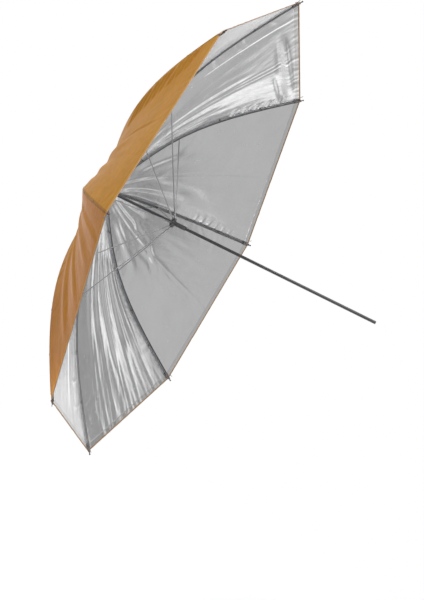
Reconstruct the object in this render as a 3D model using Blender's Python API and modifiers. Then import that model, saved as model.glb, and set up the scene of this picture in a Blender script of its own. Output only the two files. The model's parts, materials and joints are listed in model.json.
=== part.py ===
"""Umbrella reflector: an eight-rib reversible studio umbrella, open.

The shaft lies along X. The canopy's crown is at -X and the shaft's free end at +X. The origin is on the
shaft's axis, where a stand's umbrella clamp grips it. Rib 1 points up (+Z), rib 3 along -Y. Metres.
"""

import math

import bmesh
import bpy
from mathutils import Matrix, Vector

# Canopy and ribs
RIB_COUNT = 8
RIM_RADIUS = 0.560  # shaft's axis to the fabric's corner
RIM_X = -0.360  # plane of the eight corners
RIB_START_ANGLE = math.radians(7.3)  # slope where a rib leaves the notch
RIB_BEND = math.radians(28.8)  # how much the fabric's pull bends a rib from notch to corner
RIB_BEND_PEAK = 0.255  # arc length from the notch at which it bends most
RIB_WIDTH = 0.0038
RIB_DEPTH = 0.0034
RIB_WEB = 0.0006
RIB_STATIONS = 12
RIB_CHANNEL_START = 0.010  # arc length at which the channel begins; inside it the rib is a flat tongue
RIB_END_GAP = 0.0004  # the channel and the fabric stop this far short of the corner
JOINT_ARC = 0.248  # arc length from the notch to the stretcher's joint
JOINT_OFFSET = 0.0005  # the joint's pin lies this far inside the rib's middle line

FABRIC_THICKNESS = 0.0008
FABRIC_GAP = 0.0004  # rib to fabric
FABRIC_START_ARC = 0.0045  # fabric's inner edge, from the hinge
GORE_SEAM_GAP = 0.0002  # half the gap between neighbouring gores
PANEL_DIP = 0.012  # how far a panel's middle is drawn towards the open side
HEM_SAG = 0.003  # how far a hem's middle is cut back
GORE_CROSS_STEPS = 6
GORE_FLAT_HALF = RIB_WIDTH / 2 + 0.0008  # the fabric lies flat across its rib for this far each side

# Shaft
SHAFT_RADIUS = 0.0035
SHAFT_WALL = 0.0007
SHAFT_END_X = 0.102
BORE_RADIUS = 0.0038  # of what sits on the shaft

# Notch: the fixed slotted ring at the crown
HINGE_RADIUS = 0.009
NOTCH_RADIUS = 0.011
NOTCH_HUB_RADIUS = 0.0064
NOTCH_HALF = 0.003
NOTCH_HUB_END = 0.012
NOTCH_PIN_OFFSET = 0.009
SLOT_WIDTH = 0.0023
GROOVE_HALF = 0.0008
WIRE_RADIUS = 0.00045
EYE_RADIUS = 0.0008
TONGUE_WIDTH = 0.0016

# Crown fittings, as distances outward from the hinges' plane
WASHER_RADIUS = 0.017
WASHER_IN = 0.0034
WASHER_OUT = 0.0044
FERRULE_RADIUS = 0.0068
FERRULE_IN = 0.0047
FERRULE_TOP = 0.0185

# Runner: the slotted slide
RUNNER_X = RIM_X - 0.0506
RUNNER_RADIUS = 0.0115
RUNNER_HALF = 0.0035
RUNNER_HUB_RADIUS = 0.0062
RUNNER_WIRE_RING = 0.0082
SLEEVE_RADIUS = 0.0050
SLEEVE_END = 0.0335
KEYWAY_WIDTH = 0.0026
KEYWAY_DEPTH = 0.0059
CATCH_ANGLE = math.radians(22.5)  # between rib 1 and rib 2

# Stretchers
STRETCHER_INNER_RADIUS = 0.0099  # where the inner ends stand, just outside the runner's ring
STRETCHER_ROD_RADIUS = 0.00135
STRETCHER_TONGUE = 0.018
STRETCHER_TONGUE_HALF = 0.0012
PIN_RADIUS = 0.00045
PIN_HEAD_RADIUS = 0.0011

# Rib tips
TIP_RADIUS = 0.0028
TIP_OUT = 0.009  # how far a tip reaches beyond the fabric's corner

CROSS_PIN_RADIUS = 0.0009
CROSS_PIN_HOLE = 0.0012
FINE = 24
COARSE = 12
MERGE = 1e-5

STAND_UP = Matrix.Rotation(math.pi / 2, 4, "X")  # an outline's second axis becomes Z

COLOURS = {
    "black_metal": ((0.035, 0.035, 0.037, 1), 0.35, 0.6),
    "rib_steel": ((0.09, 0.09, 0.095, 1), 0.4, 0.8),
    "bright_steel": ((0.42, 0.42, 0.43, 1), 0.3, 1.0),
    "black_plastic": ((0.03, 0.03, 0.03, 1), 0.45, 0.0),
    "brown_cap": ((0.06, 0.035, 0.02, 1), 0.5, 0.0),
    "gold_fabric": ((0.62, 0.36, 0.12, 1), 0.4, 0.7),
}


# ---- scene and helpers ----


def clear_scene():
    for obj in list(bpy.data.objects):
        bpy.data.objects.remove(obj, do_unlink=True)


def collection(name):
    made = bpy.data.collections.new(name)
    bpy.context.scene.collection.children.link(made)
    return made


def material(name):
    made = bpy.data.materials.get(name)
    if made:
        return made
    colour, roughness, metallic = COLOURS[name]
    made = bpy.data.materials.new(name)
    made.use_nodes = True
    shader = made.node_tree.nodes["Principled BSDF"]
    shader.inputs["Base Color"].default_value = colour
    shader.inputs["Roughness"].default_value = roughness
    shader.inputs["Metallic"].default_value = metallic
    made.diffuse_color = colour
    return made


def add_object(name, mesh, finish=None):
    """A named part, or a cutter when it has no finish."""
    obj = bpy.data.objects.new(name, mesh)
    if finish is None:
        CUTTERS.objects.link(obj)
        obj.hide_render = True
        obj.display_type = "WIRE"
        return obj
    PARTS.objects.link(obj)
    if not mesh.materials:
        mesh.materials.append(material(finish))
    return obj


def smooth(mesh, angle=40):
    mesh.shade_smooth()
    mesh.set_sharp_from_angle(angle=math.radians(angle))


def primitive(name, build, matrix=None):
    """A mesh from one bmesh primitive call."""
    bm = bmesh.new()
    build(bm)
    if matrix is not None:
        bm.transform(matrix)
    mesh = bpy.data.meshes.new(name)
    bm.to_mesh(mesh)
    bm.free()
    return mesh


def cylinder(name, radius, depth, segments=COARSE, finish=None):
    """A cylinder along its own Z, about its origin."""
    mesh = primitive(
        name,
        lambda bm: bmesh.ops.create_cone(
            bm, cap_ends=True, segments=segments, radius1=radius, radius2=radius, depth=depth
        ),
    )
    smooth(mesh)
    return add_object(name, mesh, finish)


def box(name, low, high, finish=None):
    """A box between two corners of its own frame."""
    mesh = primitive(name, lambda bm: bmesh.ops.create_cube(bm, size=1))
    for vertex in mesh.vertices:
        for i in range(3):
            vertex.co[i] = high[i] if vertex.co[i] > 0 else low[i]
    return add_object(name, mesh, finish)


def turned(name, outline, finish=None, segments=FINE, ring=False):
    """A body turned about its own Z. The outline is (radius, z) pairs down the outer side, top to bottom;
    a ring's outline goes on up its bore and closes."""
    mesh = bpy.data.meshes.new(name)
    points = [(radius, 0, z) for radius, z in outline]
    edges = [(i, i + 1) for i in range(len(points) - 1)]
    if ring:
        edges.append((len(points) - 1, 0))
    mesh.from_pydata(points, edges, [])
    obj = add_object(name, mesh, finish)
    screw = obj.modifiers.new("turn", "SCREW")
    screw.axis = "Z"
    screw.angle = 2 * math.pi
    screw.steps = segments
    screw.render_steps = segments
    screw.use_merge_vertices = True
    screw.merge_threshold = MERGE
    screw.use_smooth_shade = False
    return obj


def boolean(obj, cutter, operation="DIFFERENCE"):
    modifier = obj.modifiers.new(operation.lower(), "BOOLEAN")
    modifier.operation = operation
    modifier.solver = "EXACT"
    modifier.object = cutter


def settled_mesh(obj, name):
    """The object's evaluated mesh in its own frame, as new data; the object itself is removed."""
    bpy.context.view_layer.update()
    evaluated = obj.evaluated_get(bpy.context.evaluated_depsgraph_get())
    mesh = bpy.data.meshes.new_from_object(evaluated)
    mesh.name = name
    bm = bmesh.new()
    bm.from_mesh(mesh)
    bmesh.ops.remove_doubles(bm, verts=bm.verts, dist=MERGE)
    bm.to_mesh(mesh)
    bm.free()
    bpy.data.objects.remove(obj, do_unlink=True)
    return mesh


def along_shaft(obj, x):
    """Turns a part's own Z to +X and puts it at x on the shaft's axis."""
    obj.rotation_euler = (0, math.pi / 2, 0)
    obj.location = (x, 0, 0)


# ---- the bent rib's line ----


def bend_rib(arc_length, steps=600):
    """(arc, axial, radial, slope) along a rib of this length. A rib bends most at its joint and not at all
    at its two ends, as a strip does that is held at its joint and pulled at its tip."""
    line = [(0.0, 0.0, 0.0, RIB_START_ANGLE)]
    step = arc_length / steps
    for i in range(steps):
        arc, axial, radial, slope = line[-1]
        middle = arc + step / 2
        if middle < RIB_BEND_PEAK:
            share = middle / RIB_BEND_PEAK
        else:
            share = (arc_length - middle) / (arc_length - RIB_BEND_PEAK)
        turn = share * RIB_BEND * 2 / arc_length * step
        heading = slope + turn / 2
        line.append((arc + step, axial + step * math.sin(heading), radial + step * math.cos(heading), slope + turn))
    return line


def solve_rib():
    """The rib's line for which its corner lies at the rim's radius."""
    length = RIM_RADIUS
    for _ in range(8):
        line = bend_rib(length)
        length *= (RIM_RADIUS - HINGE_RADIUS) / line[-1][2]
    return bend_rib(length)


RIB_LINE = solve_rib()
RIB_ARC = RIB_LINE[-1][0]
HINGE_X = RIM_X - RIB_LINE[-1][1]


def rib_point(arc):
    """(x, radius, slope) in a rib's plane at this arc length, carried straight on past both ends."""
    index = arc / RIB_ARC * (len(RIB_LINE) - 1)
    low = min(max(int(index), 0), len(RIB_LINE) - 2)
    share = min(max(index - low, 0.0), 1.0)
    first, second = RIB_LINE[low], RIB_LINE[low + 1]
    axial, radial, slope = (first[i] + (second[i] - first[i]) * share for i in (1, 2, 3))
    over = arc - min(max(arc, 0.0), RIB_ARC)
    axial += over * math.sin(slope)
    radial += over * math.cos(slope)
    return HINGE_X + axial, HINGE_RADIUS + radial, slope


def beside_rib(arc, offset):
    """(x, radius) at this arc length, moved by offset towards the open side."""
    x, radius, slope = rib_point(arc)
    return x + offset * math.cos(slope), radius - offset * math.sin(slope)


JOINT = beside_rib(JOINT_ARC, JOINT_OFFSET)
RUNNER_PIVOT = (RUNNER_X, STRETCHER_INNER_RADIUS)
STRETCHER_LENGTH = math.dist(JOINT, RUNNER_PIVOT)
STRETCHER_ANGLE = math.atan2(RUNNER_PIVOT[0] - JOINT[0], RUNNER_PIVOT[1] - JOINT[1])


# ---- shaft and crown ----


def make_shaft():
    top = FERRULE_TOP - 0.006
    length = SHAFT_END_X - 0.0018 - (HINGE_X - top)
    tube = cylinder("shaft", SHAFT_RADIUS, length, FINE, "black_metal")
    along_shaft(tube, HINGE_X - top + length / 2)
    bore = cylinder("cut_shaft_bore", SHAFT_RADIUS - SHAFT_WALL, length * 1.1, FINE // 2)
    along_shaft(bore, tube.location.x)
    boolean(tube, bore)
    for name, x, angle in (
        ("notch_pin", HINGE_X + NOTCH_PIN_OFFSET, CATCH_ANGLE),
        ("stop_pin", stop_pin_x(), CATCH_ANGLE + math.pi / 2),
    ):
        hole = cross_cylinder("cut_" + name + "_hole", CROSS_PIN_HOLE, 0.03, x, angle)
        boolean(tube, hole)
    window = box("cut_catch_window", (-0.0003, -0.0011, 0.0), (0.0121, 0.0011, 0.006))
    window.rotation_euler = (CATCH_ANGLE, 0, 0)
    window.location = (catch_x(), 0, 0)
    boolean(tube, window)
    return tube


def stop_pin_x():
    return RUNNER_X - RUNNER_HALF - CROSS_PIN_RADIUS - 0.0003


def catch_x():
    return RUNNER_X + SLEEVE_END + 0.0006


def cross_cylinder(name, radius, length, x, angle, finish=None):
    """A cylinder through the shaft, across it."""
    rod = cylinder(name, radius, length, COARSE, finish)
    rod.rotation_euler = (angle, 0, 0)
    rod.location = (x, 0, 0)
    return rod


def make_cross_pins():
    cross_cylinder("notch_pin", CROSS_PIN_RADIUS, 0.0124, HINGE_X + NOTCH_PIN_OFFSET, CATCH_ANGLE, "bright_steel")
    cross_cylinder("runner_stop_pin", CROSS_PIN_RADIUS, 0.0104, stop_pin_x(), CATCH_ANGLE + math.pi / 2, "bright_steel")


def make_end_plug():
    outline = [
        (0, 0.0018),
        (0.0026, 0.0018),
        (0.0033, 0.0014),
        (0.0035, 0.0008),
        (0.0035, 0.0003),
        (0.0025, 0.0003),
        (0.0025, -0.008),
        (0, -0.0085),
    ]
    along_shaft(turned("shaft_end_plug", outline, "black_plastic", COARSE * 2), SHAFT_END_X - 0.0018)


def make_ferrule():
    """The cap screwed on outside the crown. Its own Z points away from the canopy."""
    bore_top = FERRULE_TOP - 0.0055
    outline = [
        (0, FERRULE_TOP),
        (0.0024, FERRULE_TOP),
        (0.0040, FERRULE_TOP - 0.0010),
        (0.0048, FERRULE_TOP - 0.0030),
        (0.0050, FERRULE_IN + 0.0035),
        (FERRULE_RADIUS, FERRULE_IN + 0.0020),
        (FERRULE_RADIUS, FERRULE_IN),
        (BORE_RADIUS, FERRULE_IN),
        (BORE_RADIUS, bore_top),
        (0, bore_top),
    ]
    cap = turned("crown_ferrule", outline, "black_plastic")
    cap.rotation_euler = (0, -math.pi / 2, 0)
    cap.location = (HINGE_X, 0, 0)


def make_crown_washer():
    """The dished disc that clamps the fabric's centre."""
    lift = 0.0010
    outline = [
        (BORE_RADIUS, WASHER_OUT),
        (0.0080, WASHER_OUT),
        (WASHER_RADIUS, WASHER_OUT - lift),
        (WASHER_RADIUS, WASHER_IN - lift),
        (0.0115, WASHER_IN - 0.0001),
        (BORE_RADIUS, WASHER_IN),
    ]
    disc = turned("crown_washer", outline, "black_plastic", ring=True)
    disc.rotation_euler = (0, -math.pi / 2, 0)
    disc.location = (HINGE_X, 0, 0)


def slot_cutters(name, hub_radius, outer_radius, x, half):
    """Eight boxes, each the slot that one rib or stretcher swings in."""
    cutters = []
    for index in range(RIB_COUNT):
        slot = box(
            f"cut_{name}_slot_{index + 1}",
            (-half * 2, -SLOT_WIDTH / 2, hub_radius),
            (half * 2, SLOT_WIDTH / 2, outer_radius * 1.3),
        )
        slot.rotation_euler = (rib_angle(index), 0, 0)
        slot.location = (x, 0, 0)
        cutters.append(slot)
    return cutters


def wire_ring(name, ring_radius, x, finish):
    """A closed wire ring round the shaft."""
    bpy.ops.mesh.primitive_torus_add(
        major_radius=ring_radius, minor_radius=WIRE_RADIUS, major_segments=FINE, minor_segments=6
    )
    ring = bpy.context.object
    ring.name = name
    ring.data.name = name
    for owner in list(ring.users_collection):
        owner.objects.unlink(ring)
    PARTS.objects.link(ring)
    ring.data.materials.append(material(finish))
    smooth(ring.data, 80)
    along_shaft(ring, x)


def make_notch():
    """Its own Z points to the free end, from the hinges' plane."""
    groove = HINGE_RADIUS - WIRE_RADIUS - 0.0003
    outline = [
        (NOTCH_HUB_RADIUS, NOTCH_HUB_END),
        (NOTCH_HUB_RADIUS, NOTCH_HALF),
        (NOTCH_RADIUS, NOTCH_HALF),
        (NOTCH_RADIUS, GROOVE_HALF),
        (groove, GROOVE_HALF),
        (groove, -GROOVE_HALF),
        (NOTCH_RADIUS, -GROOVE_HALF),
        (NOTCH_RADIUS, -NOTCH_HALF),
        (BORE_RADIUS, -NOTCH_HALF),
        (BORE_RADIUS, NOTCH_HUB_END),
    ]
    notch = turned("top_notch", outline, "black_plastic", ring=True)
    along_shaft(notch, HINGE_X)
    for cutter in slot_cutters("notch", NOTCH_HUB_RADIUS + 0.0002, NOTCH_RADIUS, HINGE_X, NOTCH_HALF):
        boolean(notch, cutter)
    boolean(notch, bpy.data.objects["cut_notch_pin_hole"])
    wire_ring("notch_ring_wire", HINGE_RADIUS, HINGE_X, "bright_steel")


# ---- runner ----


def make_runner():
    """Its own Z points to the free end, from the stretchers' plane."""
    groove = RUNNER_WIRE_RING - WIRE_RADIUS - 0.0003
    outline = [
        (SLEEVE_RADIUS, SLEEVE_END),
        (SLEEVE_RADIUS, RUNNER_HALF + 0.0015),
        (RUNNER_HUB_RADIUS, RUNNER_HALF),
        (RUNNER_RADIUS, RUNNER_HALF),
        (RUNNER_RADIUS, GROOVE_HALF),
        (groove, GROOVE_HALF),
        (groove, -GROOVE_HALF),
        (RUNNER_RADIUS, -GROOVE_HALF),
        (RUNNER_RADIUS, -RUNNER_HALF),
        (BORE_RADIUS, -RUNNER_HALF),
        (BORE_RADIUS, SLEEVE_END),
    ]
    runner = turned("runner", outline, "black_plastic", ring=True)
    along_shaft(runner, RUNNER_X)
    for cutter in slot_cutters("runner", RUNNER_HUB_RADIUS + 0.0002, RUNNER_RADIUS, RUNNER_X, RUNNER_HALF):
        boolean(runner, cutter)
    keyway = box(
        "cut_runner_keyway",
        (-RUNNER_HALF * 2, -KEYWAY_WIDTH / 2, 0.001),
        (SLEEVE_END * 1.2, KEYWAY_WIDTH / 2, KEYWAY_DEPTH),
    )
    keyway.rotation_euler = (CATCH_ANGLE, 0, 0)
    keyway.location = (RUNNER_X, 0, 0)
    boolean(runner, keyway)
    wire_ring("runner_ring_wire", RUNNER_WIRE_RING, RUNNER_X, "bright_steel")


def make_catch():
    """The sprung catch that stands behind the open runner: a wedge whose steep end faces the runner."""
    outline = [(0.0, 0.0052), (0.0, 0.0014), (0.0118, 0.0014), (0.0118, 0.0026), (0.0016, 0.0056)]
    mesh = prism("runner_catch", [outline], 0.0016)
    mesh.transform(STAND_UP)
    catch = add_object("runner_catch", mesh, "bright_steel")
    catch.rotation_euler = (CATCH_ANGLE, 0, 0)
    catch.location = (catch_x(), 0, 0)


def add_loop(curve, points):
    spline = curve.splines.new("POLY")
    spline.points.add(len(points) - 1)
    for target, point in zip(spline.points, points):
        target.co = (point[0], point[1], 0, 1)
    spline.use_cyclic_u = True


# ---- one rib's pieces, in the plane of rib 1 ----


def circle(radius, count, first=0.0, sweep=2 * math.pi):
    """Points on an arc, the far end left out when it closes."""
    closed = sweep >= 2 * math.pi - 1e-9
    steps = count if closed else count - 1
    return [
        (radius * math.cos(first + sweep * i / steps), radius * math.sin(first + sweep * i / steps))
        for i in range(count)
    ]


def straight_rib():
    """The rib before it is bent: arc length along Z, width along Y, and X towards the open side."""
    half, deep = RIB_WIDTH / 2, RIB_DEPTH / 2
    inner, floor = half - RIB_WEB, -deep + RIB_WEB
    section = [
        (deep, -half), (deep, -inner), (floor, -inner), (floor, inner),
        (deep, inner), (deep, half), (-deep, half), (-deep, -half),
    ]  # fmt: skip
    start, end = RIB_CHANNEL_START, RIB_ARC - RIB_END_GAP
    mesh = prism("straight_rib", [section], end - start)
    mesh.transform(Matrix.Translation((0, 0, (start + end) / 2)))
    bm = bmesh.new()
    bm.from_mesh(mesh)
    for station in range(1, RIB_STATIONS):
        everything = [*bm.verts, *bm.edges, *bm.faces]
        cut = (0, 0, station_arc(station))
        bmesh.ops.bisect_plane(bm, geom=everything, dist=1e-7, plane_co=cut, plane_no=(0, 0, 1))
    bm.to_mesh(mesh)
    bm.free()
    return add_object("straight_rib", mesh)


def station_arc(station):
    """Arc length of one of the rib's cross-sections, which the fabric shares."""
    start, end = RIB_CHANNEL_START, RIB_ARC - RIB_END_GAP
    return start + (end - start) * station / RIB_STATIONS


def prism(name, loops, length):
    """A flat outline of one or more closed loops in XY, given this length along Z about its middle."""
    curve = bpy.data.curves.new(name, "CURVE")
    curve.dimensions = "2D"
    curve.fill_mode = "BOTH"
    curve.extrude = length / 2
    for loop in loops:
        add_loop(curve, loop)
    blank = bpy.data.objects.new(name + "_blank", curve)
    CUTTERS.objects.link(blank)
    return settled_mesh(blank, name)


def make_rib_mesh():
    rib = straight_rib()
    root = tongue("cut_rib_tongue", -0.0016, 0.016, RIB_DEPTH / 2, eye=EYE_RADIUS)
    boolean(rib, root, "UNION")
    joint_hole = cylinder("cut_joint_hole", EYE_RADIUS, RIB_WIDTH * 2)
    joint_hole.rotation_euler = (math.pi / 2, 0, 0)
    joint_hole.location = (JOINT_OFFSET, 0, JOINT_ARC)
    boolean(rib, joint_hole)
    mesh = settled_mesh(rib, "rib")
    for vertex in mesh.vertices:
        x, radius = beside_rib(vertex.co.z, vertex.co.x)
        vertex.co = (x - HINGE_X, vertex.co.y, radius - HINGE_RADIUS)
    smooth(mesh, 30)
    return mesh


def tongue(name, start, end, half_depth, eye=0.0):
    """A flat bar along Z with one round end, which may have an eye on Y through its origin."""
    nose = circle(half_depth, 7, math.pi, math.pi)
    loops = [[(half_depth, end), (-half_depth, end), *[(x, z + start + half_depth) for x, z in nose]]]
    if eye:
        loops.append(circle(eye, 8))
    mesh = prism(name, loops, TONGUE_WIDTH)
    mesh.transform(STAND_UP)
    return add_object(name, mesh)


def make_stretcher_mesh():
    """A round rod with flattened ends, along Z from the rib's joint to the runner."""
    start, end = STRETCHER_TONGUE - 0.004, STRETCHER_LENGTH - STRETCHER_TONGUE - 0.006
    rod = cylinder("stretcher_rod", STRETCHER_ROD_RADIUS, end - start, 10)
    rod.data.transform(Matrix.Translation((0, 0, (start + end) / 2)))
    outer = tongue("cut_stretcher_outer", -STRETCHER_TONGUE_HALF, STRETCHER_TONGUE, STRETCHER_TONGUE_HALF, EYE_RADIUS)
    boolean(rod, outer, "UNION")
    inner = tongue("cut_stretcher_inner", 0.0, STRETCHER_TONGUE + 0.010, STRETCHER_TONGUE_HALF)
    inner.rotation_euler = (math.pi, 0, 0)
    inner.location = (0, 0, STRETCHER_LENGTH)
    boolean(rod, inner, "UNION")
    mesh = settled_mesh(rod, "stretcher")
    smooth(mesh, 50)
    return mesh


def make_pin_mesh():
    """The joint's rivet, its own Z along the joint's axis."""
    shank = RIB_WIDTH / 2 + 0.0003
    head = shank + 0.0005
    outline = [
        (0, head), (PIN_HEAD_RADIUS, head), (PIN_HEAD_RADIUS, shank), (PIN_RADIUS, shank),
        (PIN_RADIUS, -shank), (PIN_HEAD_RADIUS, -shank), (PIN_HEAD_RADIUS, -head), (0, -head),
    ]  # fmt: skip
    mesh = settled_mesh(turned("rivet_blank", outline, segments=8), "rib_pin")
    smooth(mesh)
    return mesh


def make_tip_mesh():
    """The cap over a rib's end: Z runs out along the rib from the fabric's corner."""
    outline = [
        (0, TIP_OUT),
        (0.0011, TIP_OUT),
        (0.0019, TIP_OUT - 0.0008),
        (0.0019, TIP_OUT - 0.0022),
        (0.0012, TIP_OUT - 0.0036),
        (0.0012, 0.0022),
        (TIP_RADIUS, 0.0010),
        (TIP_RADIUS, 0.0),
        (0, 0.0),
    ]
    mesh = settled_mesh(turned("tip_blank", outline, segments=COARSE), "rib_tip")
    smooth(mesh)
    return mesh


def canopy_point(arc, share):
    """A point of the stretched fabric's inner face on rib 1's gore: share 0 is on the rib, 0.5 midway to
    the next. Between two ribs the fabric is straight across, less a dip towards the open side."""
    bulge = 4 * share * (1 - share)
    arc = arc - HEM_SAG * bulge * arc / RIB_ARC
    x, radius = beside_rib(arc, -(RIB_DEPTH / 2 + FABRIC_GAP))
    slope = rib_point(arc)[2]
    half_step = math.pi / RIB_COUNT
    # From the flat strip's edge, a straight line to its mirror image on the next rib.
    half_chord = radius * math.sin(half_step) - GORE_FLAT_HALF * math.cos(half_step)
    dip = PANEL_DIP * bulge * math.sin(math.pi * min(arc / RIB_ARC, 1.0))
    inward = dip * math.sin(slope)
    across = GORE_FLAT_HALF + 2 * half_chord * share * math.cos(half_step) - inward * math.sin(half_step)
    up = radius - 2 * half_chord * share * math.sin(half_step) - inward * math.cos(half_step)
    return Vector((x + dip * math.cos(slope), across, up))


def make_gore_mesh():
    """One eighth of the canopy, centred on a rib and cut midway to each neighbour."""
    bm = bmesh.new()
    bmesh.ops.create_grid(bm, x_segments=GORE_CROSS_STEPS, y_segments=RIB_STATIONS + 1, size=1)
    flat = 2 / GORE_CROSS_STEPS
    for vertex in bm.verts:
        station = round((vertex.co.y + 1) / 2 * (RIB_STATIONS + 1)) - 1
        arc = FABRIC_START_ARC if station < 0 else station_arc(station)
        outward = max(abs(vertex.co.x) - flat, 0) / (1 - flat)
        chord = 2 * rib_point(arc)[1] * math.sin(math.pi / RIB_COUNT)
        point = canopy_point(arc, outward * (0.5 - GORE_SEAM_GAP / chord))
        side = 0 if abs(vertex.co.x) < flat / 2 else math.copysign(1, vertex.co.x)
        vertex.co = (point.x - HINGE_X, side * point.y, point.z - HINGE_RADIUS)
    bmesh.ops.recalc_face_normals(bm, faces=bm.faces)
    if next(iter(bm.faces)).normal.x > 0:
        bmesh.ops.reverse_faces(bm, faces=bm.faces)
    mesh = bpy.data.meshes.new("canopy_gore")
    bm.to_mesh(mesh)
    bm.free()
    mesh.shade_smooth()
    return mesh


def rib_angle(index):
    return 2 * math.pi * index / RIB_COUNT


def sector(index):
    """An empty on the shaft's axis that turns one rib's pieces into their place."""
    empty = bpy.data.objects.new(f"sector_{index + 1}", None)
    PARTS.objects.link(empty)
    empty.rotation_euler = (rib_angle(index), 0, 0)
    return empty


def place(name, mesh, finish, parent, x, radius, tilt=(0, 0, 0)):
    """A piece in its rib's plane, at x and radius."""
    obj = add_object(name, mesh, finish)
    obj.parent = parent
    obj.location = (x, 0, radius)
    obj.rotation_euler = tilt
    return obj


def make_sectors():
    rib, stretcher = make_rib_mesh(), make_stretcher_mesh()
    pin, tip, gore = make_pin_mesh(), make_tip_mesh(), make_gore_mesh()
    corner_x, corner_radius, corner_slope = rib_point(RIB_ARC)
    for index in range(RIB_COUNT):
        turn = sector(index)
        number = index + 1
        place(f"rib_{number}", rib, "rib_steel", turn, HINGE_X, HINGE_RADIUS)
        place(f"rib_pin_{number}", pin, "bright_steel", turn, *JOINT, (math.pi / 2, 0, 0))
        place(f"stretcher_{number}", stretcher, "bright_steel", turn, *JOINT, (0, STRETCHER_ANGLE, 0))
        place(f"rib_tip_{number}", tip, "brown_cap", turn, corner_x, corner_radius, (0, corner_slope, 0))
        piece = place(f"canopy_gore_{number}", gore, "gold_fabric", turn, HINGE_X, HINGE_RADIUS)
        solidify = piece.modifiers.new("cloth", "SOLIDIFY")
        solidify.thickness = FABRIC_THICKNESS
        solidify.offset = 1
        solidify.use_rim = True


def main():
    make_shaft()
    make_cross_pins()
    make_end_plug()
    make_ferrule()
    make_crown_washer()
    make_notch()
    make_runner()
    make_catch()
    make_sectors()


clear_scene()
PARTS = collection("umbrella_reflector")
CUTTERS = collection("cutters")
main()
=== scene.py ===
"""Looks for the umbrella reflector: a sewn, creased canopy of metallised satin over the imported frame."""

import json
import math

import bmesh
import bpy
import numpy as np
from mathutils import Matrix, Vector


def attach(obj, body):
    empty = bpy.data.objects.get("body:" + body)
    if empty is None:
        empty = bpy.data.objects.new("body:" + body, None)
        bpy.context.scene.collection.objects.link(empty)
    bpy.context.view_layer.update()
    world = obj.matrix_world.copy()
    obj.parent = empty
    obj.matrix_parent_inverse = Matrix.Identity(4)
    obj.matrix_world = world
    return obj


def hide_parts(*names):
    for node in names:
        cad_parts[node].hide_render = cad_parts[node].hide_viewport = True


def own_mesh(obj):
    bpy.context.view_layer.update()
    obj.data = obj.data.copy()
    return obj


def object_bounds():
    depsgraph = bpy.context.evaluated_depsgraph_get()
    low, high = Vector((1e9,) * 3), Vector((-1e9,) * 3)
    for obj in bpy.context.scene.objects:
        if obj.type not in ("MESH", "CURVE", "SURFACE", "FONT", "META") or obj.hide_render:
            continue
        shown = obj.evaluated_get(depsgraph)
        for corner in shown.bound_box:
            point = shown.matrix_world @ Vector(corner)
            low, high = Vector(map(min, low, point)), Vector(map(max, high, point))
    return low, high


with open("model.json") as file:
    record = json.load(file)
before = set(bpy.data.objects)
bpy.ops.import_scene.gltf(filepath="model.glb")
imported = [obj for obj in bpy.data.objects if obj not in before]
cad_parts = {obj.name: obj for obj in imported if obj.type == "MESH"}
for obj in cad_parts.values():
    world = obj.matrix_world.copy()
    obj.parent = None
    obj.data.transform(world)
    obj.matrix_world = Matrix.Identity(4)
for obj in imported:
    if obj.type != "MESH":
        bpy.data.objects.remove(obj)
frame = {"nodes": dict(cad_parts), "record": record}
CAD_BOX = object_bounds()

# ---- sizes, in metres ----

RIBS = 8
STEP = 2 * math.pi / RIBS
CLOTH = 0.0004  # drawn thickness of the cloth
RIDGE_ROUND = 0.003  # how softly the cloth turns over a rib
# How far each panel bellies to the open side. Panel 0 lies between ribs 1 and 2, and so on round.
PANEL_DIPS = (0.012, 0.013, 0.015, 0.012, 0.012, 0.011, 0.011, 0.021)
INNER_RADIUS = 0.0124  # where the cloth ends under the crown washer
RIM_OVERHANG = 0.0004  # how far the drawn cloth runs past the solid's edge, up to the rib's cap

ACROSS = 112  # faces across one gore
ALONG = 176  # and along it
# The last rows are close together, so that the hem's fold has its own edges: distances from the hem.
HEM_ROWS = (0.020, 0.0154, 0.0146, 0.0134, 0.0128, 0.0100, 0.0070, 0.0045, 0.0025, 0.0010, 0.0)
LAST_EVEN_ROW = 0.024
EDGE_STATIONS = 97  # along one gore's folded edge

HEM_WIDTH = 0.014
EDGE_TAPE = 0.0004  # thickness of the tape folded over the hem's rim
HEM_STEP = 0.0005  # the turned hem is one cloth thicker on the open side
SEAM_HALF = 0.0028
SEAM_RISE = 0.0005  # a seam's four layers stand out to the gold side
FOLD_WIDTH = 0.0016  # over which a hem's fold rises, and half of what a seam's does
PUCKER_PITCH = 0.021  # of the small waves that stitching draws in the cloth beside it
PUCKER_HEIGHT = 0.00012
PUCKER_PLACE = 0.008  # how far from a seam they stand highest, and how far they reach beside a hem's fold
PUCKER_SPREAD = 0.00707  # how far they reach to both sides of that place
STILL_BY_RIB, FREE_OVER_RIB = 0.003, 0.007  # cloth lies still up to the first, and is free past their sum
STILL_BY_CROWN, FREE_OVER_CROWN = 0.012, 0.03

RIB_DEPTH = 0.0042  # how far a rib stands off the cloth, with its gap
RIB_HALF = 0.0019
TIE_ARCS = (0.120, 0.372, 0.490)  # where a rib is tied to its seam, as arc lengths from the crown
TIE_TURNS = 4
TIE_GAP = 0.0006  # between a rib's side and its tie
THREAD_RADIUS = 0.00032
THREAD_PITCH = 0.0007  # of the weave
STITCH_PITCH = 0.0032


# ---- the ribs' line, read from the frame ----


def read_rib_line():
    """The cloth's middle line over rib 1, as radius and x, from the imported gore."""
    mesh = frame["nodes"]["canopy_gore_1"].data
    points = sorted((v.co.z, v.co.x) for v in mesh.vertices if abs(v.co.y) < 1e-5)
    groups = [[points[0]]]
    for point in points[1:]:
        if point[0] - groups[-1][-1][0] > 0.0025:
            groups.append([])
        groups[-1].append(point)
    return np.array([np.mean(group, axis=0) for group in groups])


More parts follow.
